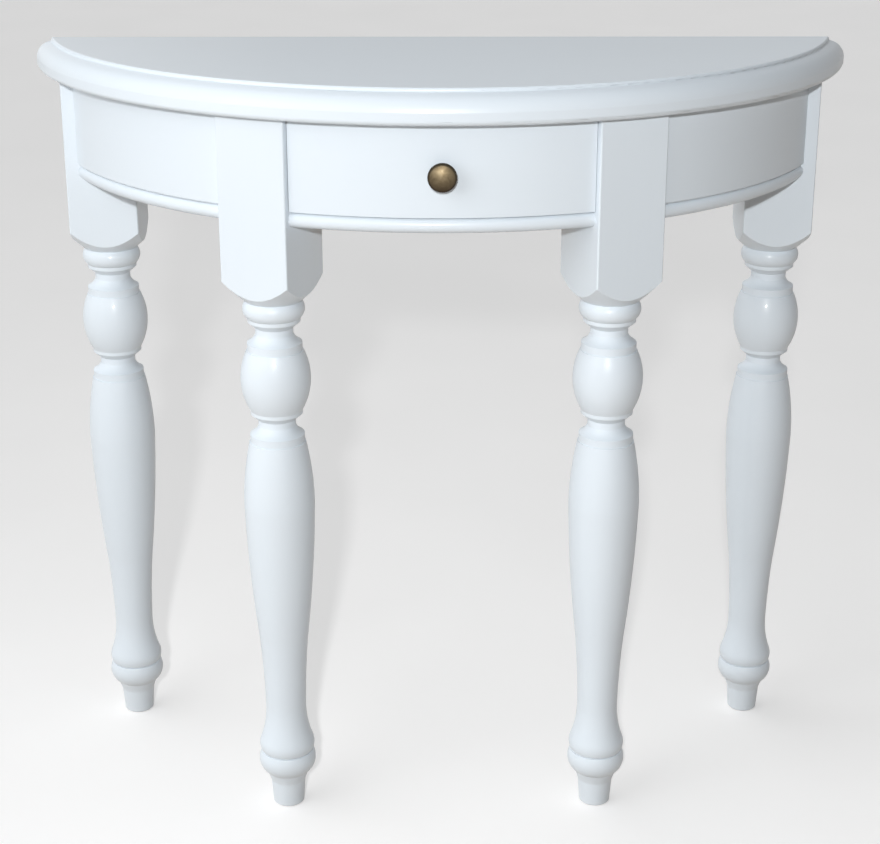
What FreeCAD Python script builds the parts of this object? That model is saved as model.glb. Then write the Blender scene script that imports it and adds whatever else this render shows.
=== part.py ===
import FreeCAD, Part
import math
import os
from FreeCAD import Vector

# Half-round console table: moulded top, four turned legs, curved aprons and one drawer.
# Millimetres. +Z is up, the straight back of the top faces +Y and the curved front faces -Y.
# The origin is on the floor, under the middle of the top's outline.

# Overall size
TOP_WIDTH = 800.0
TOP_DEPTH = 312.0
TABLE_HEIGHT = 725.0
TOP_THICK = 30.0

# Moulded edge of the top, measured from its outermost line and from its upper face
FLAT_INSET = 15.5
ARRIS = 1.0
STEP_DROP = 3.8
COVE_RADIUS = 2.2
ROUND_DROP = 18.5
ROUND_SWELL = 3.0
UNDER_ROUND = 4.5

# Square blocks of the legs and where the legs stand
BLOCK_SIDE = 68.0
BLOCK_EDGE_ROUND = 1.5
BLOCK_BELOW_APRON = 54.0
REAR_BLOCK_INSET = 34.0
REAR_LEG_BACK_GAP = 1.0
FRONT_BLOCK_INSET = 16.0

# Turned members of a leg from the block downwards: heights, then radii
SHOULDER_HEIGHT = 22.0
SHOULDER_SWELL = 0.5
COLLAR_HEIGHT = 16.4
RING_HEIGHT = 3.4
RING_CONE_HEIGHT = 6.0
NECK_HEIGHT = 20.2
NECK_COVE_HEIGHT = 8.0
LIP_HEIGHT = 7.6
LIP_STEP = 0.9
BULB_HEIGHT = 57.7
BULB_BELLY_DROP = 31.0
SHAFT_BELLY_DROP = 63.6
SHOULDER_FOOT_RADIUS = 25.6
COLLAR_RADIUS = 28.6
RING_RADIUS = 24.3
NECK_COVE_RADIUS = 20.0
NECK_RADIUS = 17.5
LIP_RADIUS = 25.5
BULB_RADIUS = 32.4
SHAFT_CROWN_RADIUS = 31.6
SHAFT_RADIUS = 33.4
SHAFT_HIGH_RADIUS = 30.0
SHAFT_LOW_RADIUS = 23.4
SHAFT_HOLLOW_RADIUS = 20.9

# Turned members of a leg from the floor upwards: heights, then radii
FOOT_HEIGHT = 25.3
FOOT_CHAMFER = 1.2
ANKLET_HEIGHT = 33.0
ANKLET_LOW_RISE = 10.0
GROOVE_WIDTH = 1.2
GROOVE_DEPTH = 1.6
FLARE_ROUND_HEIGHT = 12.5
FLARE_COVE_HEIGHT = 32.6
ANKLE_HEIGHT = 112.0
FOOT_BOTTOM_RADIUS = 15.2
FOOT_TOP_RADIUS = 17.0
ANKLET_LOW_RADIUS = 20.6
ANKLET_RADIUS = 27.7
ANKLET_TOP_RADIUS = 25.8
FLARE_LOW_RADIUS = 25.4
FLARE_RADIUS = 27.0
FLARE_TOP_RADIUS = 26.0
FLARE_COVE_RADIUS = 21.4
ANKLE_RADIUS = 19.7

# Curved aprons, their bead and the back rail
APRON_SETBACK = 4.5
APRON_THICK = 18.0
APRON_HEIGHT = 97.5
BEAD_HEIGHT = 14.0
BEAD_STRIP_DEPTH = 20.0
QUIRK = 1.4
BACK_RAIL_THICK = 18.0
BACK_RAIL_INSET = 7.0

# Mortise and tenon joints
TENON_THICK = 9.0
TENON_LENGTH = 16.0
TENON_SHOULDER = 10.0
TENON_CLEARANCE = 0.15

# Drawer
DRAWER_GAP = 0.7
DRAWER_FRONT_THICK = 20.0
DRAWER_BOX_WIDTH = 206.0
DRAWER_LEG_GAP = 5.0
DRAWER_SIDE_THICK = 12.0
DRAWER_SIDE_HEIGHT = 66.0
DRAWER_BACK_THICK = 12.0
DRAWER_BACK_ROOM = 18.0
DRAWER_BACK_INSET = 10.0
DRAWER_BACK_DROP = 6.0
RUNNING_CLEARANCE = 0.5
BOTTOM_THICK = 5.0
BOTTOM_LIFT = 9.0
GROOVE_IN_SIDE = 4.0
JOINT_TONGUE = 6.0
JOINT_TONGUE_THICK = 6.0
JOINT_SHOULDER = 8.0
JOINT_CLEARANCE = 0.1

# Drawer supports
RAIL_DEPTH = 40.0
UPPER_RAIL_DEPTH = 34.0
UPPER_RAIL_GAP = 2.0
SUPPORT_THICK = 16.0
LEG_NOTCH_GAP = 0.3
RUNNER_WIDTH = 34.0
RUNNER_TONGUE = 8.0
RUNNER_TONGUE_THICK = 6.0
GUIDE_WIDTH = 13.0
GUIDE_HEIGHT = 22.0
GUIDE_LEG_GAP = 6.0
KICKER_WIDTH = 20.0
STOP_LENGTH = 28.0
STOP_DEPTH = 12.0
STOP_HEIGHT = 6.0
STOP_PAIR_WIDTH = 110.0
STOP_GAP = 0.4

# Knob
KNOB_RADIUS = 12.9
KNOB_REACH = 20.3
KNOB_DROP = 3.0
KNOB_BASE_RADIUS = 7.0
KNOB_BASE_THICK = 1.4
KNOB_NECK_RADIUS = 5.0
KNOB_NECK_LENGTH = 1.2
KNOB_SHOULDER_RADIUS = 12.0
KNOB_SPIGOT_RADIUS = 3.5
KNOB_SPIGOT_LENGTH = 14.0

# Fixing blocks inside the side aprons
FIXING_BLOCK_LENGTH = 46.0
FIXING_BLOCK_DEPTH = 24.0

# Plan: the top's front is one arc, cut off by the straight back
EDGE_RADIUS = ((TOP_WIDTH / 2) ** 2 + TOP_DEPTH ** 2) / (2 * TOP_DEPTH)
BACK_Y = TOP_DEPTH / 2
ARC_Y = BACK_Y + EDGE_RADIUS - TOP_DEPTH
APRON_RADIUS = EDGE_RADIUS - FRONT_BLOCK_INSET - APRON_SETBACK
HALF_BLOCK = BLOCK_SIDE / 2
REAR_LEG_X = TOP_WIDTH / 2 - REAR_BLOCK_INSET - HALF_BLOCK
REAR_LEG_Y = BACK_Y - REAR_LEG_BACK_GAP - HALF_BLOCK
REAR_LEG_ANGLE = math.degrees(math.atan2(REAR_LEG_X, ARC_Y - REAR_LEG_Y))

# The front legs face the arc's axis, and the inner rear corners of their blocks leave room for the drawer
BOX_HALF = DRAWER_BOX_WIDTH / 2
FRONT_LEG_RADIUS = EDGE_RADIUS - FRONT_BLOCK_INSET - HALF_BLOCK
CORNER_RADIUS = math.hypot(FRONT_LEG_RADIUS - HALF_BLOCK, HALF_BLOCK)
CORNER_TURN = math.asin((BOX_HALF + DRAWER_LEG_GAP) / CORNER_RADIUS)
FRONT_TURN = CORNER_TURN + math.atan2(HALF_BLOCK, FRONT_LEG_RADIUS - HALF_BLOCK)
FRONT_LEG_ANGLE = math.degrees(FRONT_TURN)
FRONT_LEG_X = FRONT_LEG_RADIUS * math.sin(FRONT_TURN)
FRONT_LEG_Y = ARC_Y - FRONT_LEG_RADIUS * math.cos(FRONT_TURN)
FIXING_BLOCK_ANGLE = (FRONT_LEG_ANGLE + REAR_LEG_ANGLE) / 2
BACK_RAIL_FRONT = BACK_Y - REAR_LEG_BACK_GAP - BACK_RAIL_INSET - BACK_RAIL_THICK

# Heights
UNDERSIDE = TABLE_HEIGHT - TOP_THICK
APRON_BOTTOM = UNDERSIDE - APRON_HEIGHT
BEAD_TOP = APRON_BOTTOM + BEAD_HEIGHT
BLOCK_CORNER = APRON_BOTTOM - BLOCK_BELOW_APRON

# Drawer box
FRONT_BACK_RADIUS = APRON_RADIUS - DRAWER_FRONT_THICK
FRONT_BOTTOM = BEAD_TOP + DRAWER_GAP
FRONT_TOP = UNDERSIDE - DRAWER_GAP
BOX_BACK = BACK_RAIL_FRONT - DRAWER_BACK_ROOM
BOX_BOTTOM = BEAD_TOP + RUNNING_CLEARANCE
BOX_TOP = BOX_BOTTOM + DRAWER_SIDE_HEIGHT
PANEL_BOTTOM = BOX_BOTTOM + BOTTOM_LIFT
PANEL_TOP = PANEL_BOTTOM + BOTTOM_THICK
RAIL_BACK_RADIUS = APRON_RADIUS - RAIL_DEPTH
UPPER_RAIL_RADIUS = FRONT_BACK_RADIUS - UPPER_RAIL_GAP
UPPER_RAIL_BACK_RADIUS = UPPER_RAIL_RADIUS - UPPER_RAIL_DEPTH
SUPPORT_BOTTOM = UNDERSIDE - SUPPORT_THICK
APRON_BACK_RADIUS = APRON_RADIUS - APRON_THICK
GUIDE_INNER = BOX_HALF + RUNNING_CLEARANCE
GUIDE_OUTER = GUIDE_INNER + GUIDE_WIDTH
RUNNER_INNER = GUIDE_OUTER - RUNNER_WIDTH
SIDE_MIDDLE = BOX_HALF - DRAWER_SIDE_THICK / 2
SIDE_FRONT = ARC_Y - math.sqrt(FRONT_BACK_RADIUS ** 2 - BOX_HALF ** 2)
BACK_REAR = BOX_BACK - DRAWER_BACK_INSET
BACK_FRONT = BACK_REAR - DRAWER_BACK_THICK
BACK_RAIL_REAR = BACK_RAIL_FRONT + BACK_RAIL_THICK
KNOB_Z = (FRONT_BOTTOM + FRONT_TOP) / 2 - KNOB_DROP
FACE_Y = ARC_Y - APRON_RADIUS


class Outline:
    """Closed outline in a plane through an axis, drawn from point to point as (radius, height)."""

    def __init__(self, r, z):
        self.edges = []
        self.start = self.at(r, z)
        self.last = self.start

    def at(self, r, z):
        return Vector(r, 0, z)

    def line(self, r, z):
        point = self.at(r, z)
        self.edges.append(Part.LineSegment(self.last, point).toShape())
        self.last = point

    def arc(self, r_mid, z_mid, r, z):
        point = self.at(r, z)
        self.edges.append(Part.Arc(self.last, self.at(r_mid, z_mid), point).toShape())
        self.last = point

    def face(self):
        if self.last.distanceToPoint(self.start) > 1e-6:
            self.line(self.start.x, self.start.z)
        return Part.Face(Part.Wire(self.edges))

    def turned(self):
        """Full revolve about the vertical axis through the origin."""
        return self.face().revolve(Vector(0, 0, 0), Vector(0, 0, 1), 360)

    def swept(self, start_angle, end_angle):
        """Revolve about the axis of the front arc, with angles from straight ahead towards +X."""
        face = self.face()
        face.rotate(Vector(0, 0, 0), Vector(0, 0, 1), start_angle - 90)
        face.translate(Vector(0, ARC_Y, 0))
        return face.revolve(Vector(0, ARC_Y, 0), Vector(0, 0, 1), end_angle - start_angle)


def ring(r_in, r_out, z_low, z_high, start_angle, end_angle):
    """Curved bar of square section along the front arc."""
    outline = Outline(r_in, z_low)
    outline.line(r_out, z_low)
    outline.line(r_out, z_high)
    outline.line(r_in, z_high)
    return outline.swept(start_angle, end_angle)


def nosed_ring(r_in, start_angle, end_angle):
    """Curved bar with the half-round bead on its front edge."""
    nose = BEAD_HEIGHT / 2
    outline = Outline(r_in, APRON_BOTTOM)
    outline.line(APRON_RADIUS - nose, APRON_BOTTOM)
    outline.arc(APRON_RADIUS, APRON_BOTTOM + nose, APRON_RADIUS - nose, BEAD_TOP)
    outline.line(r_in, BEAD_TOP)
    return outline.swept(start_angle, end_angle)


def box(x0, x1, y0, y1, z0, z1):
    return Part.makeBox(x1 - x0, y1 - y0, z1 - z0, Vector(x0, y0, z0))


def disc(radius, z_low, z_high):
    """Solid round about the axis of the front arc."""
    return Part.makeCylinder(radius, z_high - z_low, Vector(0, ARC_Y, z_low))


def mirrored(shape):
    return shape.mirror(Vector(0, 0, 0), Vector(1, 0, 0))


def at_front_leg(shape):
    """Put a shape made at the origin, front to -Y, where the right front leg stands."""
    placed = shape.copy()
    placed.rotate(Vector(0, 0, 0), Vector(0, 0, 1), FRONT_LEG_ANGLE)
    placed.translate(Vector(FRONT_LEG_X, FRONT_LEG_Y, 0))
    return placed


def at_rear_leg(shape):
    """Put a shape made at the origin where the right rear leg stands."""
    placed = shape.copy()
    placed.translate(Vector(REAR_LEG_X, REAR_LEG_Y, 0))
    return placed


def square_space(margin):
    """Room that a leg's block takes up, grown by a margin on every side."""
    half = HALF_BLOCK + margin
    return box(-half, half, -half, half, BLOCK_CORNER, TABLE_HEIGHT)


def less(shape, tools):
    """Take each tool away from a shape."""
    for tool in tools:
        shape = shape.cut(tool)
    return shape


def top_panel():
    flat = EDGE_RADIUS - FLAT_INSET
    ledge = TABLE_HEIGHT - STEP_DROP
    round_start = flat + COVE_RADIUS
    round_end = TABLE_HEIGHT - ROUND_DROP
    width = EDGE_RADIUS - round_start
    height = ledge - round_end
    swell = ROUND_SWELL / math.hypot(width, height)
    lean = 1 - math.sqrt(0.5)
    outline = Outline(0, UNDERSIDE)
    outline.line(EDGE_RADIUS - UNDER_ROUND, UNDERSIDE)
    outline.arc(EDGE_RADIUS - UNDER_ROUND * lean, UNDERSIDE + UNDER_ROUND * lean,
                EDGE_RADIUS, UNDERSIDE + UNDER_ROUND)
    outline.line(EDGE_RADIUS, round_end)
    outline.arc(round_start + width / 2 + height * swell, round_end + height / 2 + width * swell,
                round_start, ledge)
    outline.arc(flat + COVE_RADIUS * lean, ledge + COVE_RADIUS * lean, flat, ledge + COVE_RADIUS)
    outline.line(flat, TABLE_HEIGHT - ARRIS)
    outline.line(flat - ARRIS, TABLE_HEIGHT)
    outline.line(0, TABLE_HEIGHT)
    whole = outline.swept(-180, 180)
    behind = box(-TOP_WIDTH, TOP_WIDTH, BACK_Y, BACK_Y + 2 * TOP_WIDTH, 0, 2 * TABLE_HEIGHT)
    return whole.cut(behind)


def foot(outline):
    """Plain tapered foot, the round anklet over it, and the flare that runs into the ankle."""
    anklet_low = FOOT_HEIGHT + ANKLET_LOW_RISE
    groove_low = FOOT_HEIGHT + ANKLET_HEIGHT
    flare_low = groove_low + GROOVE_WIDTH
    flare_top = flare_low + FLARE_ROUND_HEIGHT
    cove_top = flare_top + FLARE_COVE_HEIGHT
    outline.line(FOOT_BOTTOM_RADIUS - FOOT_CHAMFER, 0)
    outline.line(FOOT_BOTTOM_RADIUS, FOOT_CHAMFER)
    outline.line(FOOT_TOP_RADIUS, FOOT_HEIGHT)
    outline.line(ANKLET_LOW_RADIUS, anklet_low)
    outline.arc(ANKLET_RADIUS, (anklet_low + groove_low) / 2, ANKLET_TOP_RADIUS, groove_low)
    outline.line(ANKLET_TOP_RADIUS - GROOVE_DEPTH, (groove_low + flare_low) / 2)
    outline.line(FLARE_LOW_RADIUS, flare_low)
    outline.arc(FLARE_RADIUS, (flare_low + flare_top) / 2, FLARE_TOP_RADIUS, flare_top)
    outline.arc(FLARE_COVE_RADIUS, (flare_top + cove_top) / 2, ANKLE_RADIUS, cove_top)
    outline.line(ANKLE_RADIUS, ANKLE_HEIGHT)


def shaft(outline, top):
    """Long swelling shaft from the ankle to its upper lip: one hollow arc and two full ones."""
    lip = top - LIP_HEIGHT
    belly = lip - SHAFT_BELLY_DROP
    third = (belly - ANKLE_HEIGHT) / 3
    outline.arc(SHAFT_HOLLOW_RADIUS, ANKLE_HEIGHT + third / 2, SHAFT_LOW_RADIUS, ANKLE_HEIGHT + third)
    outline.arc(SHAFT_HIGH_RADIUS, belly - third, SHAFT_RADIUS, belly)
    outline.arc(SHAFT_CROWN_RADIUS, (belly + lip) / 2, LIP_RADIUS + LIP_STEP, lip)
    outline.line(LIP_RADIUS, lip)
    outline.line(LIP_RADIUS, top)


def neck(outline, low, high):
    """Cove from a lip up into a narrow neck, then a cone out to a plain ring."""
    outline.arc(NECK_COVE_RADIUS, low + NECK_COVE_HEIGHT / 2, NECK_RADIUS, low + NECK_COVE_HEIGHT)
    outline.line(NECK_RADIUS, high - RING_CONE_HEIGHT)
    outline.line(RING_RADIUS, high)
    outline.line(RING_RADIUS, high + RING_HEIGHT)


def bulb(outline, top):
    """Full round bulb from a plain ring to its upper lip."""
    lip = top - LIP_HEIGHT
    outline.arc(BULB_RADIUS, lip - BULB_BELLY_DROP, LIP_RADIUS + LIP_STEP, lip)
    outline.line(LIP_RADIUS, lip)
    outline.line(LIP_RADIUS, top)


def leg_turning():
    """Turned part of a leg, from the floor to the foot of its block."""
    collar_top = BLOCK_CORNER - SHOULDER_HEIGHT
    collar_low = collar_top - COLLAR_HEIGHT
    neck_top = collar_low - RING_HEIGHT
    bulb_top = neck_top - NECK_HEIGHT
    bulb_low = bulb_top - LIP_HEIGHT - BULB_HEIGHT
    low_neck_top = bulb_low - RING_HEIGHT
    shaft_top = low_neck_top - NECK_HEIGHT
    outline = Outline(0, 0)
    foot(outline)
    shaft(outline, shaft_top)
    neck(outline, shaft_top, low_neck_top)
    bulb(outline, bulb_top)
    neck(outline, bulb_top, neck_top)
    outline.arc(COLLAR_RADIUS, (collar_low + collar_top) / 2, SHOULDER_FOOT_RADIUS, collar_top)
    outline.line(0, collar_top)
    return outline.turned()


def leg_block():
    """Square block with its lower corners turned away to meet the collar."""
    collar_top = BLOCK_CORNER - SHOULDER_HEIGHT
    corner = math.hypot(HALF_BLOCK, HALF_BLOCK)
    outline = Outline(0, collar_top)
    outline.line(SHOULDER_FOOT_RADIUS, collar_top)
    outline.arc((SHOULDER_FOOT_RADIUS + corner) / 2 + SHOULDER_SWELL,
                (collar_top + BLOCK_CORNER) / 2 - SHOULDER_SWELL, corner, BLOCK_CORNER)
    outline.line(corner, UNDERSIDE)
    outline.line(0, UNDERSIDE)
    square = box(-HALF_BLOCK, HALF_BLOCK, -HALF_BLOCK, HALF_BLOCK, collar_top, UNDERSIDE)
    upright = [edge for edge in square.Edges if edge.BoundBox.ZLength > BLOCK_SIDE]
    return square.makeFillet(BLOCK_EDGE_ROUND, upright).common(outline.turned())


def plain_leg():
    return leg_block().fuse(leg_turning()).removeSplitter()


def front_leg():
    mortises = [apron_tenon(TENON_CLEARANCE), rail_tenon(TENON_CLEARANCE), upper_rail_tenon(TENON_CLEARANCE)]
    return less(at_front_leg(plain_leg()), mortises)


def rear_leg():
    mortises = [apron_tenon(TENON_CLEARANCE), back_rail_tenon(TENON_CLEARANCE)]
    return less(at_rear_leg(plain_leg()), mortises)


def apron_tenon(grow):
    """Curved bar that runs from inside the front block to inside the rear block."""
    middle = APRON_RADIUS - APRON_THICK / 2
    half = TENON_THICK / 2 + grow
    start = FRONT_LEG_ANGLE + math.degrees(math.asin((HALF_BLOCK - TENON_LENGTH - grow) / middle))
    depth = ARC_Y - REAR_LEG_Y + HALF_BLOCK - TENON_LENGTH - grow
    end = math.degrees(math.acos(depth / middle))
    return ring(middle - half, middle + half, BEAD_TOP + TENON_SHOULDER - grow,
                UNDERSIDE - TENON_SHOULDER + grow, start, end)


def between_legs(shape):
    """Trim a curved bar to the side face of the front block and the front face of the rear block."""
    behind = box(-TOP_WIDTH, TOP_WIDTH, REAR_LEG_Y - HALF_BLOCK, BACK_Y, 0, TABLE_HEIGHT)
    return shape.cut(at_front_leg(square_space(0))).cut(behind)


def side_apron():
    outline = Outline(APRON_BACK_RADIUS, BEAD_TOP)
    outline.line(APRON_RADIUS - QUIRK, BEAD_TOP)
    outline.line(APRON_RADIUS, BEAD_TOP + QUIRK)
    outline.line(APRON_RADIUS, UNDERSIDE)
    outline.line(APRON_BACK_RADIUS, UNDERSIDE)
    board = between_legs(outline.swept(FRONT_LEG_ANGLE, REAR_LEG_ANGLE))
    return board.fuse(apron_tenon(0)).removeSplitter()


def side_bead():
    return between_legs(nosed_ring(APRON_RADIUS - BEAD_STRIP_DEPTH, FRONT_LEG_ANGLE, REAR_LEG_ANGLE))


def fixing_block():
    half = math.degrees(FIXING_BLOCK_LENGTH / 2 / APRON_BACK_RADIUS)
    return ring(APRON_BACK_RADIUS - FIXING_BLOCK_DEPTH, APRON_BACK_RADIUS, SUPPORT_BOTTOM, UNDERSIDE,
                FIXING_BLOCK_ANGLE - half, FIXING_BLOCK_ANGLE + half)


def between_front_legs(shape, margin):
    """Trim a curved bar to the inner faces of the two front blocks, less a margin."""
    block = at_front_leg(square_space(margin))
    return shape.cut(block).cut(mirrored(block))


def crossing_tenon(r_out, r_in, low, high, grow):
    """Bar that runs along the arc from inside one front block to inside the other."""
    reach = HALF_BLOCK - TENON_LENGTH - grow
    end = FRONT_LEG_ANGLE - math.degrees(math.asin(reach / r_out))
    return ring(r_in - grow, r_out + grow, low - grow, high + grow, -end, end)


def rail_tenon(grow):
    return crossing_tenon(APRON_RADIUS - TENON_SHOULDER, RAIL_BACK_RADIUS + TENON_SHOULDER,
                          APRON_BOTTOM + BEAD_HEIGHT / 4, BEAD_TOP - BEAD_HEIGHT / 4, grow)


def upper_rail_tenon(grow):
    return crossing_tenon(UPPER_RAIL_RADIUS - TENON_SHOULDER, UPPER_RAIL_BACK_RADIUS + TENON_SHOULDER,
                          SUPPORT_BOTTOM + SUPPORT_THICK / 4, UNDERSIDE - SUPPORT_THICK / 4, grow)


def runner_tongue(radius, grow):
    """Flat disc as high as the runners' tongues and reaching out to a radius."""
    middle = (APRON_BOTTOM + BEAD_TOP) / 2
    half = RUNNER_TONGUE_THICK / 2 + grow
    return disc(radius + grow, middle - half, middle + half)


def drawer_rail():
    rail = between_front_legs(nosed_ring(RAIL_BACK_RADIUS, -FRONT_LEG_ANGLE, FRONT_LEG_ANGLE), 0)
    rail = rail.fuse(rail_tenon(0)).removeSplitter()
    return rail.cut(runner_tongue(RAIL_BACK_RADIUS + RUNNER_TONGUE, JOINT_CLEARANCE))


def upper_rail():
    rail = ring(UPPER_RAIL_BACK_RADIUS, UPPER_RAIL_RADIUS, SUPPORT_BOTTOM, UNDERSIDE,
                -FRONT_LEG_ANGLE, FRONT_LEG_ANGLE)
    return between_front_legs(rail, 0).fuse(upper_rail_tenon(0)).removeSplitter()


def back_rail_tenon(grow):
    end = REAR_LEG_X - HALF_BLOCK + TENON_LENGTH + grow
    middle = BACK_RAIL_FRONT + BACK_RAIL_THICK / 2
    half = TENON_THICK / 2 + grow
    return box(-end, end, middle - half, middle + half, APRON_BOTTOM + TENON_SHOULDER - grow,
               UNDERSIDE - TENON_SHOULDER + grow)


def back_rail():
    end = REAR_LEG_X - HALF_BLOCK
    rail = box(-end, end, BACK_RAIL_FRONT, BACK_RAIL_REAR, APRON_BOTTOM, UNDERSIDE)
    return rail.fuse(back_rail_tenon(0)).removeSplitter()


def runner():
    """Bar that a drawer side slides on, tongued into the drawer rail and notched round the leg."""
    bar = box(RUNNER_INNER, GUIDE_OUTER, FACE_Y, BACK_RAIL_FRONT, APRON_BOTTOM, BEAD_TOP)
    body = bar.common(disc(RAIL_BACK_RADIUS, APRON_BOTTOM, BEAD_TOP))
    tongue = bar.common(runner_tongue(RAIL_BACK_RADIUS + RUNNER_TONGUE, 0))
    return body.fuse(tongue).removeSplitter().cut(at_front_leg(square_space(LEG_NOTCH_GAP)))


def guide():
    """Strip on the runner that keeps the drawer straight."""
    front = FRONT_LEG_Y + HALF_BLOCK * (math.cos(FRONT_TURN) - math.sin(FRONT_TURN)) + GUIDE_LEG_GAP
    return box(GUIDE_INNER, GUIDE_OUTER, front, BACK_RAIL_FRONT, BEAD_TOP, BEAD_TOP + GUIDE_HEIGHT)


def kicker():
    """Bar above a drawer side that stops the open drawer from tipping."""
    half = KICKER_WIDTH / 2
    bar = box(SIDE_MIDDLE - half, SIDE_MIDDLE + half, FACE_Y, BACK_RAIL_FRONT,
              SUPPORT_BOTTOM, UNDERSIDE)
    bar = bar.common(disc(UPPER_RAIL_BACK_RADIUS, SUPPORT_BOTTOM, UNDERSIDE))
    return bar.cut(at_front_leg(square_space(LEG_NOTCH_GAP)))


def drawer_stops():
    """Two small blocks on the drawer rail that the closed drawer front rests against."""
    outer = FRONT_BACK_RADIUS - STOP_GAP
    middle = math.degrees(STOP_PAIR_WIDTH / 2 / outer)
    half = math.degrees(STOP_LENGTH / 2 / outer)
    stop = ring(outer - STOP_DEPTH, outer, BEAD_TOP, BEAD_TOP + STOP_HEIGHT, middle - half, middle + half)
    return [stop, mirrored(stop)]


def side_tongue(grow):
    """Tongue of a drawer side, which the drawer front is housed for."""
    half = JOINT_TONGUE_THICK / 2 + grow
    bar = box(SIDE_MIDDLE - half, SIDE_MIDDLE + half, FACE_Y, SIDE_FRONT + JOINT_TONGUE,
              FRONT_BOTTOM + JOINT_SHOULDER - grow, BOX_TOP - JOINT_SHOULDER + grow)
    return bar.common(disc(FRONT_BACK_RADIUS + JOINT_TONGUE + grow, 0, TABLE_HEIGHT))


def bottom_form(grow):
    """Thin bottom of the drawer, held in grooves on three sides and open at the back."""
    half = BOX_HALF - DRAWER_SIDE_THICK + GROOVE_IN_SIDE + grow
    sheet = box(-half, half, FACE_Y, BOX_BACK, PANEL_BOTTOM - grow, PANEL_TOP + grow)
    return sheet.common(disc(FRONT_BACK_RADIUS + GROOVE_IN_SIDE + grow, 0, TABLE_HEIGHT))


def back_form(grow):
    """Board across the back of the drawer with its ends let into the sides."""
    half = BOX_HALF - DRAWER_SIDE_THICK + JOINT_TONGUE + grow
    return box(-half, half, BACK_FRONT - grow, BACK_REAR + grow, PANEL_TOP, BOX_TOP - DRAWER_BACK_DROP)


def knob_spigot(grow):
    """Round peg on the back of the knob, let into the drawer front."""
    peg = Part.makeCylinder(KNOB_SPIGOT_RADIUS + grow, KNOB_SPIGOT_LENGTH + grow)
    peg.rotate(Vector(0, 0, 0), Vector(1, 0, 0), -90)
    peg.translate(Vector(0, FACE_Y, KNOB_Z))
    return peg


def drawer_front():
    front = ring(FRONT_BACK_RADIUS, APRON_RADIUS, FRONT_BOTTOM, FRONT_TOP, -FRONT_LEG_ANGLE, FRONT_LEG_ANGLE)
    front = between_front_legs(front, DRAWER_GAP)
    housing = side_tongue(JOINT_CLEARANCE)
    groove = bottom_form(JOINT_CLEARANCE)
    hole = knob_spigot(JOINT_CLEARANCE)
    return less(front, [housing, mirrored(housing), groove, hole])


def drawer_side():
    board = box(BOX_HALF - DRAWER_SIDE_THICK, BOX_HALF, FACE_Y, BOX_BACK, BOX_BOTTOM, BOX_TOP)
    board = board.common(disc(FRONT_BACK_RADIUS, 0, TABLE_HEIGHT))
    board = board.fuse(side_tongue(0)).removeSplitter()
    return less(board, [bottom_form(JOINT_CLEARANCE), back_form(JOINT_CLEARANCE)])


def drawer_back():
    return back_form(0)


def drawer_bottom():
    return bottom_form(0)


def knob():
    """Knob with a ball-shaped front on a short neck and a thin base."""
    centre = KNOB_REACH - KNOB_RADIUS
    shoulder = centre - math.sqrt(KNOB_RADIUS ** 2 - KNOB_SHOULDER_RADIUS ** 2)
    outline = Outline(0, 0)
    outline.line(KNOB_BASE_RADIUS, 0)
    outline.line(KNOB_BASE_RADIUS, KNOB_BASE_THICK)
    outline.line(KNOB_NECK_RADIUS, KNOB_BASE_THICK)
    outline.line(KNOB_NECK_RADIUS, KNOB_BASE_THICK + KNOB_NECK_LENGTH)
    outline.line(KNOB_SHOULDER_RADIUS, shoulder)
    outline.arc(KNOB_RADIUS, centre, 0, KNOB_REACH)
    form = outline.turned()
    form.rotate(Vector(0, 0, 0), Vector(1, 0, 0), 90)
    form.translate(Vector(0, FACE_Y, KNOB_Z))
    return form.fuse(knob_spigot(0)).removeSplitter()


# Pieces made for the right-hand side and mirrored for the left
PAIRS = {
    "leg_front": front_leg,
    "leg_rear": rear_leg,
    "side_apron": side_apron,
    "side_bead": side_bead,
    "fixing_block": fixing_block,
    "runner": runner,
    "guide": guide,
    "kicker": kicker,
    "drawer_side": drawer_side,
}

# Pieces that there is one of
SINGLES = {
    "top_panel": top_panel,
    "back_rail": back_rail,
    "drawer_rail": drawer_rail,
    "upper_rail": upper_rail,
    "drawer_front": drawer_front,
    "drawer_back": drawer_back,
    "drawer_bottom": drawer_bottom,
    "knob": knob,
}

# Sets of like pieces
GROUPS = {
    "drawer_stops": drawer_stops,
}


def save(name, shape, count):
    """Write a piece after making sure that it is the number of whole solids it should be."""
    if len(shape.Solids) != count or not shape.isValid():
        raise ValueError(name + " is not sound")
    whole = shape.Solids[0] if count == 1 else Part.makeCompound(shape.Solids)
    whole.exportStep("parts/" + name + ".step")


os.makedirs("parts", exist_ok=True)
for name, make in PAIRS.items():
    right = make()
    save(name + "_right", right, 1)
    save(name + "_left", mirrored(right), 1)
for name, make in SINGLES.items():
    save(name, make(), 1)
for name, make in GROUPS.items():
    pieces = make()
    save(name, Part.makeCompound(pieces), len(pieces))
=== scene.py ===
import bmesh
import bpy
import math
from mathutils import Matrix, Vector


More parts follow.
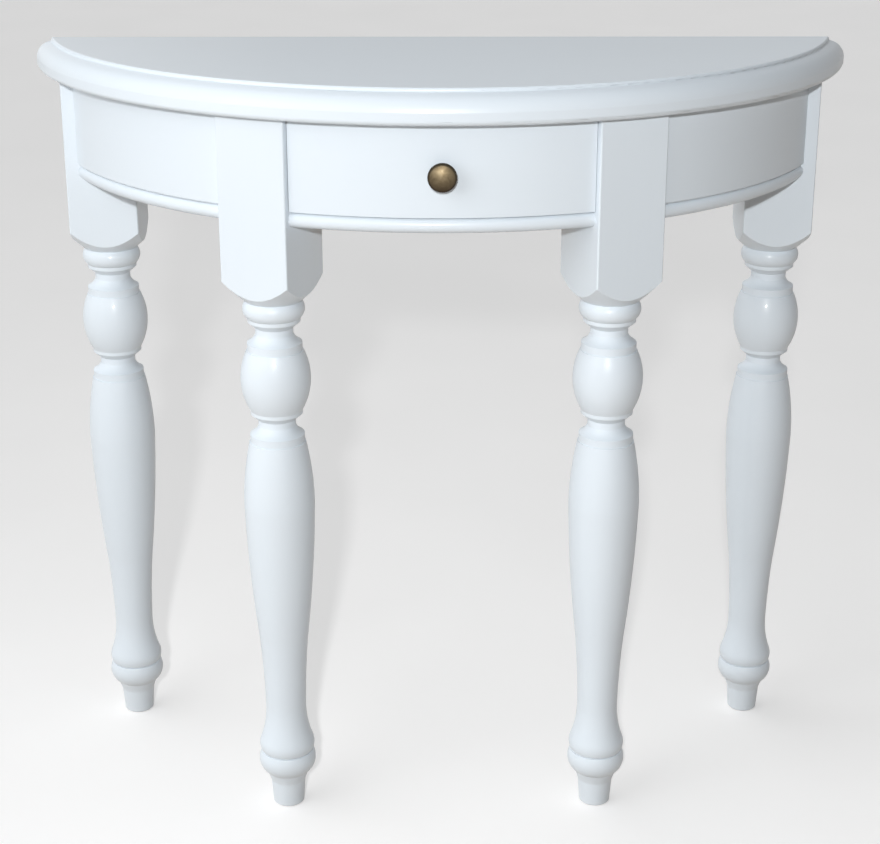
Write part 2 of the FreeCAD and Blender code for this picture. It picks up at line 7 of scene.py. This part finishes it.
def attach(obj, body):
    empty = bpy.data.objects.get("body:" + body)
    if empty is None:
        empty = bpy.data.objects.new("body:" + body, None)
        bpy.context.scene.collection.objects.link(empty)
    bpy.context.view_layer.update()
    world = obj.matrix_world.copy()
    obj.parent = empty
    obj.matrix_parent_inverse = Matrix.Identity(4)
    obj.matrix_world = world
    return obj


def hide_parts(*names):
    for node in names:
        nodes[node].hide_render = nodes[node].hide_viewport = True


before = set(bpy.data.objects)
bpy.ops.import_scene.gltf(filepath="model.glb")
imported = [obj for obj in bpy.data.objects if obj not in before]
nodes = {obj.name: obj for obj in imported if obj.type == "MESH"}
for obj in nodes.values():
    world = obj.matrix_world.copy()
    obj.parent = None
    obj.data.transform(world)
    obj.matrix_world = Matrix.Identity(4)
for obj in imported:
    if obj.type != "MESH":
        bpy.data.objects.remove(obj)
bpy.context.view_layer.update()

# Sizes shared with the solids, in metres
ARC_Y = 0.25641
APRON_BACK = 0.37391
UPPER_RAIL_MIDDLE = 0.35291
SUPPORT_BOTTOM = 0.679
BACK_RAIL_REAR = 0.148
DRAWER_INNER_Y = -0.1155
KNOB_Z = 0.65025
DRAWER_FACE_Y = -0.1355
KNOB_RADIUS = 0.0128
KNOB_REACH = 0.0172
KNOB_BASE = 0.0070
KNOB_BASE_EDGE = 0.0011
KNOB_BASE_THICK = 0.0014
KNOB_BASE_EASE = 0.0003
KNOB_THROAT_START = 0.0030
KNOB_NECK = 0.0050
KNOB_RIM_ROUND = 0.0032
KNOB_CROWN_RADIUS = 0.029
BOTTOM_PANEL_UNDERSIDE = 0.621
BOTTOM_SCREW_Y = 0.096
BOTTOM_SCREW_X = (-0.07, 0.0, 0.07)
BLOCK_SCREW_INSET = 0.012
BLOCK_SCREW_DEGREES = (44.4, 48.4)
RAIL_SCREW_DEGREES = (-8, 8)
RUNNER_SCREW_X = 0.0995
RUNNER_SCREW_Z = 0.603
KICKER_SCREW_X = 0.097
KICKER_SCREW_Z = 0.685
LARGE_SCREW = 0.0036
SMALL_SCREW = 0.0028
KNOB_SCREW = 0.0040
WASHER_INNER = 0.0022
WASHER_OUTER = 0.0062
WASHER_THICK = 0.0010
PLY_PITCH = 0.0034
CREASE_SHADE_REACH = 0.005
FLOOR_HALF = 14.0


# Materials

def new_material(name):
    material = bpy.data.materials.new(name)
    material.use_nodes = True
    tree = material.node_tree
    shader = tree.nodes["Principled BSDF"]
    return material, tree, shader


def node(tree, kind, **values):
    made = tree.nodes.new(kind)
    for key, value in values.items():
        if key in made.inputs:
            made.inputs[key].default_value = value
        else:
            setattr(made, key, value)
    return made


def link(tree, source, target):
    tree.links.new(source, target)


def stretched(tree, scale):
    """Coordinates of the piece itself, in metres, stretched along its grain."""
    place = node(tree, "ShaderNodeTexCoord")
    mapping = node(tree, "ShaderNodeMapping", Scale=scale)
    link(tree, place.outputs["Object"], mapping.inputs["Vector"])
    return mapping.outputs["Vector"]


def noise(tree, vector, scale, detail=3.0, roughness=0.5, distortion=0.0):
    made = node(tree, "ShaderNodeTexNoise", Scale=scale, Detail=detail, Roughness=roughness,
                Distortion=distortion)
    link(tree, vector, made.inputs["Vector"])
    return made.outputs["Fac"]


def ramp(tree, value, stops):
    made = node(tree, "ShaderNodeValToRGB")
    elements = made.color_ramp.elements
    while len(elements) < len(stops):
        elements.new(0.5)
    for element, (position, colour) in zip(elements, stops):
        element.position = position
        element.color = (*colour, 1.0)
    link(tree, value, made.inputs["Fac"])
    return made.outputs["Color"]


def span(tree, value, low, high, from_low=0.3, from_high=0.7):
    made = node(tree, "ShaderNodeMapRange")
    made.inputs["From Min"].default_value = from_low
    made.inputs["From Max"].default_value = from_high
    made.inputs["To Min"].default_value = low
    made.inputs["To Max"].default_value = high
    link(tree, value, made.inputs["Value"])
    return made.outputs["Result"]


def mix(tree, factor, first, second):
    made = node(tree, "ShaderNodeMix", data_type="RGBA")
    for socket, value in ((made.inputs[0], factor), (made.inputs[6], first), (made.inputs[7], second)):
        if isinstance(value, (int, float)):
            socket.default_value = value
        elif isinstance(value, tuple):
            socket.default_value = (*value, 1.0)
        else:
            link(tree, value, socket)
    return made.outputs[2]


def joined(tree, operation, first, second):
    """One number made from two by arithmetic."""
    made = node(tree, "ShaderNodeMath", operation=operation)
    link(tree, first, made.inputs[0])
    link(tree, second, made.inputs[1])
    return made.outputs[0]


def in_view(tree):
    """1 for what is seen directly, in gloss or through glass, and 0 for light that falls on the object."""
    path = node(tree, "ShaderNodeLightPath")
    seen = joined(tree, "MAXIMUM", path.outputs["Is Camera Ray"], path.outputs["Is Glossy Ray"])
    return joined(tree, "MAXIMUM", seen, path.outputs["Is Transmission Ray"])


def bump(tree, height, strength, distance):
    made = node(tree, "ShaderNodeBump", Strength=strength, Distance=distance)
    link(tree, height, made.inputs["Height"])
    return made.outputs["Normal"]


GRAINS = {"x": (0.06, 1.0, 1.0), "y": (1.0, 0.06, 1.0), "z": (1.0, 1.0, 0.06)}


def lacquer(name, grain):
    """White sprayed lacquer over wood: faint tone drift, a trace of grain, and painted shade that darkens
    the colour in grooves and inner corners.
    """
    material, tree, shader = new_material(name)
    even = stretched(tree, (1.0, 1.0, 1.0))
    along = stretched(tree, GRAINS[grain])
    drift = noise(tree, even, 4.0, 1.0)
    tone = ramp(tree, drift, [(0.3, (0.735, 0.814, 0.884)), (0.7, (0.752, 0.830, 0.898))])
    streaks = noise(tree, along, 220.0, 2.0)
    tone = mix(tree, span(tree, streaks, 0.0, 0.035), tone, (0.67, 0.74, 0.80))
    # Painted shade: an occlusion probe greys the colour in grooves and inner corners.
    crease_shade_probe = node(tree, "ShaderNodeAmbientOcclusion", Distance=CREASE_SHADE_REACH)
    crease_shade_probe.samples = 16
    shade = span(tree, crease_shade_probe.outputs["AO"], 0.18, 0.0, 0.25, 0.75)
    tone = mix(tree, shade, tone, (0.58, 0.57, 0.555))
    link(tree, tone, shader.inputs["Base Color"])
    link(tree, span(tree, drift, 0.34, 0.37), shader.inputs["Roughness"])
    shader.inputs["IOR"].default_value = 1.5
    shader.inputs["Specular IOR Level"].default_value = 0.34
    shader.inputs["Coat Weight"].default_value = 0.20
    shader.inputs["Coat Roughness"].default_value = 0.09
    return material


def wood(name, grain, pale, dark):
    """Bare planed wood with long grain, growth bands and fine pores."""
    material, tree, shader = new_material(name)
    along = stretched(tree, GRAINS[grain])
    even = stretched(tree, (1.0, 1.0, 1.0))
    bands = noise(tree, along, 55.0, 5.0, 0.55, 0.8)
    pores = noise(tree, along, 900.0, 3.0, 0.6)
    tone = ramp(tree, bands, [(0.32, dark), (0.5, pale), (0.62, dark), (0.75, pale)])
    tone = mix(tree, span(tree, pores, 0.0, 0.45, 0.5, 0.72), tone, tuple(c * 0.55 for c in dark))
    tone = mix(tree, span(tree, noise(tree, even, 7.0, 2.0), 0.0, 0.3), tone, pale)
    link(tree, tone, shader.inputs["Base Color"])
    link(tree, span(tree, pores, 0.55, 0.75), shader.inputs["Roughness"])
    link(tree, bump(tree, pores, 0.25, 0.0004), shader.inputs["Normal"])
    return material


def plywood(name):
    """Thin plywood: veneer on its faces, and light and dark plies across its edges."""
    material, tree, shader = new_material(name)
    along = stretched(tree, GRAINS["x"])
    figure = noise(tree, along, 38.0, 5.0, 0.6, 1.4)
    veneer = [(0.35, (0.55, 0.42, 0.28)), (0.52, (0.70, 0.57, 0.41)), (0.68, (0.60, 0.46, 0.31))]
    face = ramp(tree, figure, veneer)
    place = node(tree, "ShaderNodeTexCoord")
    split = node(tree, "ShaderNodeSeparateXYZ")
    link(tree, place.outputs["Object"], split.inputs["Vector"])
    plies = node(tree, "ShaderNodeMath", operation="SINE")
    height = node(tree, "ShaderNodeMath", operation="MULTIPLY")
    height.inputs[1].default_value = 2 * math.pi / PLY_PITCH
    link(tree, split.outputs["Z"], height.inputs[0])
    link(tree, height.outputs[0], plies.inputs[0])
    edge = ramp(tree, span(tree, plies.outputs[0], 0.0, 1.0, -0.3, 0.3),
                [(0.0, (0.36, 0.24, 0.14)), (1.0, (0.64, 0.49, 0.32))])
    surface = node(tree, "ShaderNodeNewGeometry")
    facing = node(tree, "ShaderNodeSeparateXYZ")
    link(tree, surface.outputs["Normal"], facing.inputs["Vector"])
    upright = node(tree, "ShaderNodeMath", operation="ABSOLUTE")
    link(tree, facing.outputs["Z"], upright.inputs[0])
    link(tree, mix(tree, upright.outputs[0], edge, face), shader.inputs["Base Color"])
    pores = noise(tree, along, 700.0, 3.0)
    link(tree, span(tree, pores, 0.5, 0.7), shader.inputs["Roughness"])
    link(tree, bump(tree, pores, 0.2, 0.0004), shader.inputs["Normal"])
    return material


def brass(name):
    """Antique brass: warm rubbed metal with brown patina towards the rim and in patches, and painted shade
    on the side that faces down.
    """
    material, tree, shader = new_material(name)
    even = stretched(tree, (1.0, 1.0, 1.0))
    patches = noise(tree, even, 170.0, 4.0, 0.6, 0.5)
    metal = [(0.30, (0.16, 0.122, 0.072)), (0.50, (0.22, 0.17, 0.10)), (0.72, (0.27, 0.215, 0.135))]
    tone = ramp(tree, patches, metal)
    surface = node(tree, "ShaderNodeNewGeometry")
    facing = node(tree, "ShaderNodeSeparateXYZ")
    link(tree, surface.outputs["Normal"], facing.inputs["Vector"])
    rubbed = span(tree, facing.outputs["Y"], 1.0, 0.0, -1.0, -0.84)
    # Painted shade: faces that point downwards are darkened to near-black brown.
    painted_shade_below = span(tree, facing.outputs["Z"], 0.85, 0.0, -0.40, 0.20)
    tone = mix(tree, rubbed, (0.075, 0.06, 0.04), tone)
    tone = mix(tree, painted_shade_below, tone, (0.044, 0.029, 0.018))
    link(tree, tone, shader.inputs["Base Color"])
    shader.inputs["Metallic"].default_value = 1.0
    link(tree, span(tree, patches, 0.52, 0.46), shader.inputs["Roughness"])
    specks = noise(tree, even, 900.0, 3.0, 0.6)
    link(tree, bump(tree, specks, 0.06, 0.0002), shader.inputs["Normal"])
    return material


def steel(name):
    """Zinc-plated steel with a slightly uneven bloom."""
    material, tree, shader = new_material(name)
    even = stretched(tree, (1.0, 1.0, 1.0))
    bloom = noise(tree, even, 420.0, 4.0)
    tone = ramp(tree, bloom, [(0.3, (0.46, 0.45, 0.43)), (0.7, (0.66, 0.65, 0.62))])
    link(tree, tone, shader.inputs["Base Color"])
    shader.inputs["Metallic"].default_value = 1.0
    link(tree, span(tree, bloom, 0.42, 0.28), shader.inputs["Roughness"])
    link(tree, bump(tree, bloom, 0.06, 0.0002), shader.inputs["Normal"])
    return material


PINE = ((0.68, 0.51, 0.33), (0.53, 0.37, 0.22))
white_x = lacquer("white_lacquer_along", "x")
white_z = lacquer("white_lacquer_upright", "z")
wood_x = wood("bare_wood_across", "x", *PINE)
wood_y = wood("bare_wood_deep", "y", *PINE)
ply = plywood("plywood_panel")
aged_brass = brass("aged_brass")
zinc = steel("zinc_steel")

FINISH = {
    white_x: ["top_panel", "back_rail", "drawer_rail", "drawer_front", "side_apron_left",
              "side_apron_right", "side_bead_left", "side_bead_right"],
    white_z: ["leg_front_left", "leg_front_right", "leg_rear_left", "leg_rear_right"],
    wood_x: ["upper_rail", "drawer_back", "drawer_stops", "fixing_block_left", "fixing_block_right"],
    wood_y: ["runner_left", "runner_right", "guide_left", "guide_right", "kicker_left", "kicker_right",
             "drawer_side_left", "drawer_side_right"],
    ply: ["drawer_bottom"],
    aged_brass: ["knob"],
}
for material, names in FINISH.items():
    for name in names:
        nodes[name].data.materials.clear()
        nodes[name].data.materials.append(material)


# Screws

def add_screw(bm, place, outward, radius):
    """Pan head with a cross recess, standing on the surface at a place."""
    rim = 32
    arm = radius * 0.58
    half = radius * 0.15
    height = radius * 0.62
    turn = Vector((0, 0, 1)).rotation_difference(Vector(outward)).to_matrix().to_4x4()
    move = Matrix.Translation(Vector(place)) @ turn @ Matrix.Rotation(0.35, 4, "Z")
    sections = [(radius, 0.0), (radius * 0.99, height * 0.35), (radius * 0.93, height * 0.68),
                (radius * 0.82, height * 0.90), (radius * 0.70, height)]
    loops = []
    for r, z in sections:
        loop = []
        for i in range(rim):
            a = 2 * math.pi * i / rim
            loop.append(bm.verts.new(move @ Vector((r * math.cos(a), r * math.sin(a), z))))
        loops.append(loop)
    for low, high in zip(loops, loops[1:]):
        for i in range(rim):
            j = (i + 1) % rim
            bm.faces.new((low[i], low[j], high[j], high[i])).smooth = True
    cross = [(half, half), (half, arm), (-half, arm), (-half, half), (-arm, half), (-arm, -half),
             (-half, -half), (-half, -arm), (half, -arm), (half, -half), (arm, -half), (arm, half)]
    upper = [bm.verts.new(move @ Vector((x, y, height))) for x, y in cross]
    lower = [bm.verts.new(move @ Vector((x * 0.8, y * 0.8, height * 0.25))) for x, y in cross]
    edges = []
    for ring in (loops[-1], upper):
        for i in range(len(ring)):
            a, b = ring[i], ring[(i + 1) % len(ring)]
            edges.append(bm.edges.get((a, b)) or bm.edges.new((a, b)))
    bmesh.ops.triangle_fill(bm, edges=edges, use_beauty=True, normal=Vector(outward))
    for i in range(len(cross)):
        j = (i + 1) % len(cross)
        bm.faces.new((upper[j], upper[i], lower[i], lower[j]))
    bm.faces.new(lower)


def add_washer(bm, place, outward, inner, outer, thick):
    """Flat ring lying on the surface at a place."""
    rim = 40
    turn = Vector((0, 0, 1)).rotation_difference(Vector(outward)).to_matrix().to_4x4()
    move = Matrix.Translation(Vector(place)) @ turn
    round_off = thick * 0.25
    sections = [(inner, 0.0), (outer, 0.0), (outer, thick - round_off), (outer - round_off, thick),
                (inner, thick)]
    loops = []
    for r, z in sections:
        loop = []
        for i in range(rim):
            a = 2 * math.pi * i / rim
            loop.append(bm.verts.new(move @ Vector((r * math.cos(a), r * math.sin(a), z))))
        loops.append(loop)
    for a, b in zip(loops, loops[1:] + loops[:1]):
        for i in range(rim):
            j = (i + 1) % rim
            bm.faces.new((a[i], a[j], b[j], b[i]))


def finish_piece(bm, name, body, material):
    bmesh.ops.recalc_face_normals(bm, faces=bm.faces)
    mesh = bpy.data.meshes.new(name)
    bm.to_mesh(mesh)
    bm.free()
    mesh.materials.append(material)
    piece = bpy.data.objects.new(name, mesh)
    bpy.context.scene.collection.objects.link(piece)
    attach(piece, body)
    return piece


def on_arc(radius, degrees, z):
    a = math.radians(degrees)
    return (radius * math.sin(a), ARC_Y - radius * math.cos(a), z)


def screws(name, body, spots, outward, radius):
    bm = bmesh.new()
    for spot in spots:
        add_screw(bm, spot, outward, radius)
    return finish_piece(bm, name, body, zinc)


DOWN = (0, 0, -1)
BACK = (0, 1, 0)
block_spots = []
for side in (-1, 1):
    for degrees in BLOCK_SCREW_DEGREES:
        block_spots.append(on_arc(APRON_BACK - BLOCK_SCREW_INSET, side * degrees, SUPPORT_BOTTOM))
screws("top_screws", "frame", block_spots, DOWN, LARGE_SCREW)
rail_spots = [on_arc(UPPER_RAIL_MIDDLE, degrees, SUPPORT_BOTTOM) for degrees in RAIL_SCREW_DEGREES]
screws("upper_rail_screws", "frame", rail_spots, DOWN, LARGE_SCREW)
back_spots = []
for x in (-RUNNER_SCREW_X, RUNNER_SCREW_X):
    back_spots.append((x, BACK_RAIL_REAR, RUNNER_SCREW_Z))
for x in (-KICKER_SCREW_X, KICKER_SCREW_X):
    back_spots.append((x, BACK_RAIL_REAR, KICKER_SCREW_Z))
screws("back_rail_screws", "frame", back_spots, BACK, LARGE_SCREW)
bottom_spots = [(x, BOTTOM_SCREW_Y, BOTTOM_PANEL_UNDERSIDE) for x in BOTTOM_SCREW_X]
screws("drawer_bottom_screws", "drawer", bottom_spots, DOWN, SMALL_SCREW)
knob_fixing = bmesh.new()
add_washer(knob_fixing, (0, DRAWER_INNER_Y, KNOB_Z), BACK, WASHER_INNER, WASHER_OUTER, WASHER_THICK)
add_screw(knob_fixing, (0, DRAWER_INNER_Y + WASHER_THICK, KNOB_Z), BACK, KNOB_SCREW)
finish_piece(knob_fixing, "knob_screw", "drawer", zinc)


# Knob

def turned(name, body, outline, place, material):
    """Round piece about a line that runs forward, from an outline of (radius, reach) pairs."""
    rim = 72
    bm = bmesh.new()
    loops = []
    for radius, reach in outline:
        if radius == 0:
            loops.append([bm.verts.new((place[0], place[1] - reach, place[2]))])
            continue
        loop = []
        for i in range(rim):
            a = 2 * math.pi * i / rim
            x = place[0] + radius * math.cos(a)
            z = place[2] + radius * math.sin(a)
            loop.append(bm.verts.new((x, place[1] - reach, z)))
        loops.append(loop)
    for low, high in zip(loops, loops[1:]):
        for i in range(rim):
            j = (i + 1) % rim
            corners = [low[i % len(low)], low[j % len(low)], high[j % len(high)], high[i % len(high)]]
            face = bm.faces.new(dict.fromkeys(corners))
            face.smooth = True
    return finish_piece(bm, name, body, material)


def knob_outline():
    """Thin base, hollow throat, rounded rim and a shallow crown that meets the rim without a crease."""
    points = [(0, 0), (KNOB_BASE, 0), (KNOB_BASE, KNOB_BASE_EDGE),
              (KNOB_BASE - KNOB_BASE_EASE, KNOB_BASE_THICK), (KNOB_NECK, KNOB_BASE_THICK)]
    rim_middle = KNOB_RADIUS - KNOB_RIM_ROUND
    fall = math.sqrt((KNOB_CROWN_RADIUS - KNOB_RIM_ROUND) ** 2 - rim_middle ** 2)
    rim_reach = KNOB_REACH - KNOB_CROWN_RADIUS + fall
    throat_end = rim_reach - KNOB_RIM_ROUND
    for i in range(13):
        a = math.pi / 2 * i / 12
        points.append((rim_middle - (rim_middle - KNOB_NECK) * math.cos(a),
                       throat_end - (throat_end - KNOB_THROAT_START) * (1 - math.sin(a))))
    tilt = math.atan2(rim_middle, fall)
    for i in range(1, 17):
        a = -math.pi / 2 + (math.pi - tilt) * i / 16
        points.append((rim_middle + KNOB_RIM_ROUND * math.cos(a), rim_reach + KNOB_RIM_ROUND * math.sin(a)))
    for i in range(1, 17):
        a = tilt * (1 - i / 16)
        points.append((KNOB_CROWN_RADIUS * math.sin(a), KNOB_REACH - KNOB_CROWN_RADIUS * (1 - math.cos(a))))
    return points[:-1] + [(0, KNOB_REACH)]


knob_place = (0, DRAWER_FACE_Y, KNOB_Z)
visible_knob = turned("knob_turning", "drawer", knob_outline(), knob_place, aged_brass)
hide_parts("knob")


# Floor, light and camera

floor_mesh = bpy.data.meshes.new("floor")
floor_corners = [(-FLOOR_HALF, -FLOOR_HALF, 0), (FLOOR_HALF, -FLOOR_HALF, 0),
                 (FLOOR_HALF, FLOOR_HALF, 0), (-FLOOR_HALF, FLOOR_HALF, 0)]
floor_mesh.from_pydata(floor_corners, [], [(0, 1, 2, 3)])
floor = bpy.data.objects.new("floor", floor_mesh)
bpy.context.scene.collection.objects.link(floor)
floor_paint, floor_tree, floor_shader = new_material("floor_paint")
floor_drift = noise(floor_tree, stretched(floor_tree, (1.0, 1.0, 1.0)), 3.0, 3.0)
floor_tone = ramp(floor_tree, floor_drift, [(0.3, (0.78, 0.78, 0.78)), (0.7, (0.80, 0.80, 0.80))])
seen = in_view(floor_tree)
link(floor_tree, mix(floor_tree, seen, (0.45, 0.38, 0.32), floor_tone), floor_shader.inputs["Base Color"])
link(floor_tree, floor_tone, floor_shader.inputs["Emission Color"])
link(floor_tree, span(floor_tree, seen, 0.0, 0.36, 0.0, 1.0), floor_shader.inputs["Emission Strength"])
floor_shader.inputs["Roughness"].default_value = 0.9
floor_shader.inputs["Specular IOR Level"].default_value = 0.1
floor_mesh.materials.append(floor_paint)


def lamp(name, place, target, size_x, size_y, power):
    light = bpy.data.lights.new(name, "AREA")
    light.shape = "RECTANGLE"
    light.size = size_x
    light.size_y = size_y
    light.energy = power
    made = bpy.data.objects.new(name, light)
    bpy.context.scene.collection.objects.link(made)
    made.location = place
    made.rotation_euler = (Vector(target) - Vector(place)).to_track_quat("-Z", "Y").to_euler()
    return made


lamp("front", (-0.12, -2.36, 1.38), (0, -0.1, 0.6), 0.08, 0.08, 35.4)
lamp("left", (-0.95, -0.95, 1.15), (0, 0, 0.55), 0.9, 0.9, 3.2)
world = bpy.data.worlds.new("studio")
world.use_nodes = True
sky = world.node_tree
ways = node(sky, "ShaderNodeSeparateXYZ")
link(sky, node(sky, "ShaderNodeTexCoord").outputs["Generated"], ways.inputs["Vector"])
left = span(sky, ways.outputs["X"], 1.8, 0.04, -1.0, -0.2)
above = span(sky, ways.outputs["Z"], 0.0, 0.14, 0.0, 1.0)
backdrop = span(sky, ways.outputs["Y"], 0.0, 0.64, 0.55, 0.95)
across = span(sky, ways.outputs["X"], 1.7, 1.0, -0.2, -0.1)
behind = joined(sky, "MULTIPLY", backdrop, across)
glow = joined(sky, "ADD", joined(sky, "ADD", left, above), behind)
window = joined(sky, "MULTIPLY", span(sky, ways.outputs["Y"], 0.0, 1.0, 0.55, 0.95),
                span(sky, ways.outputs["X"], 1.0, 0.0, -0.22, -0.08))
plain = span(sky, window, 0.66, 1.06, 0.0, 1.0)
link(sky, mix(sky, in_view(sky), glow, plain), sky.nodes["Background"].inputs["Color"])
sky.nodes["Background"].inputs["Strength"].default_value = 1.0
bpy.context.scene.world = world
bpy.context.scene.view_settings.view_transform = "Standard"

camera_data = bpy.data.cameras.new("camera")
camera_data.sensor_fit = "HORIZONTAL"
camera_data.sensor_width = 36.0
camera_data.lens = 75.52
camera = bpy.data.objects.new("camera", camera_data)
bpy.context.scene.collection.objects.link(camera)
camera.location = (-0.0086, -1.688, 0.990)
camera.rotation_euler = (math.radians(90 - 19.97), 0.0, -0.0043)
bpy.context.scene.camera = camera
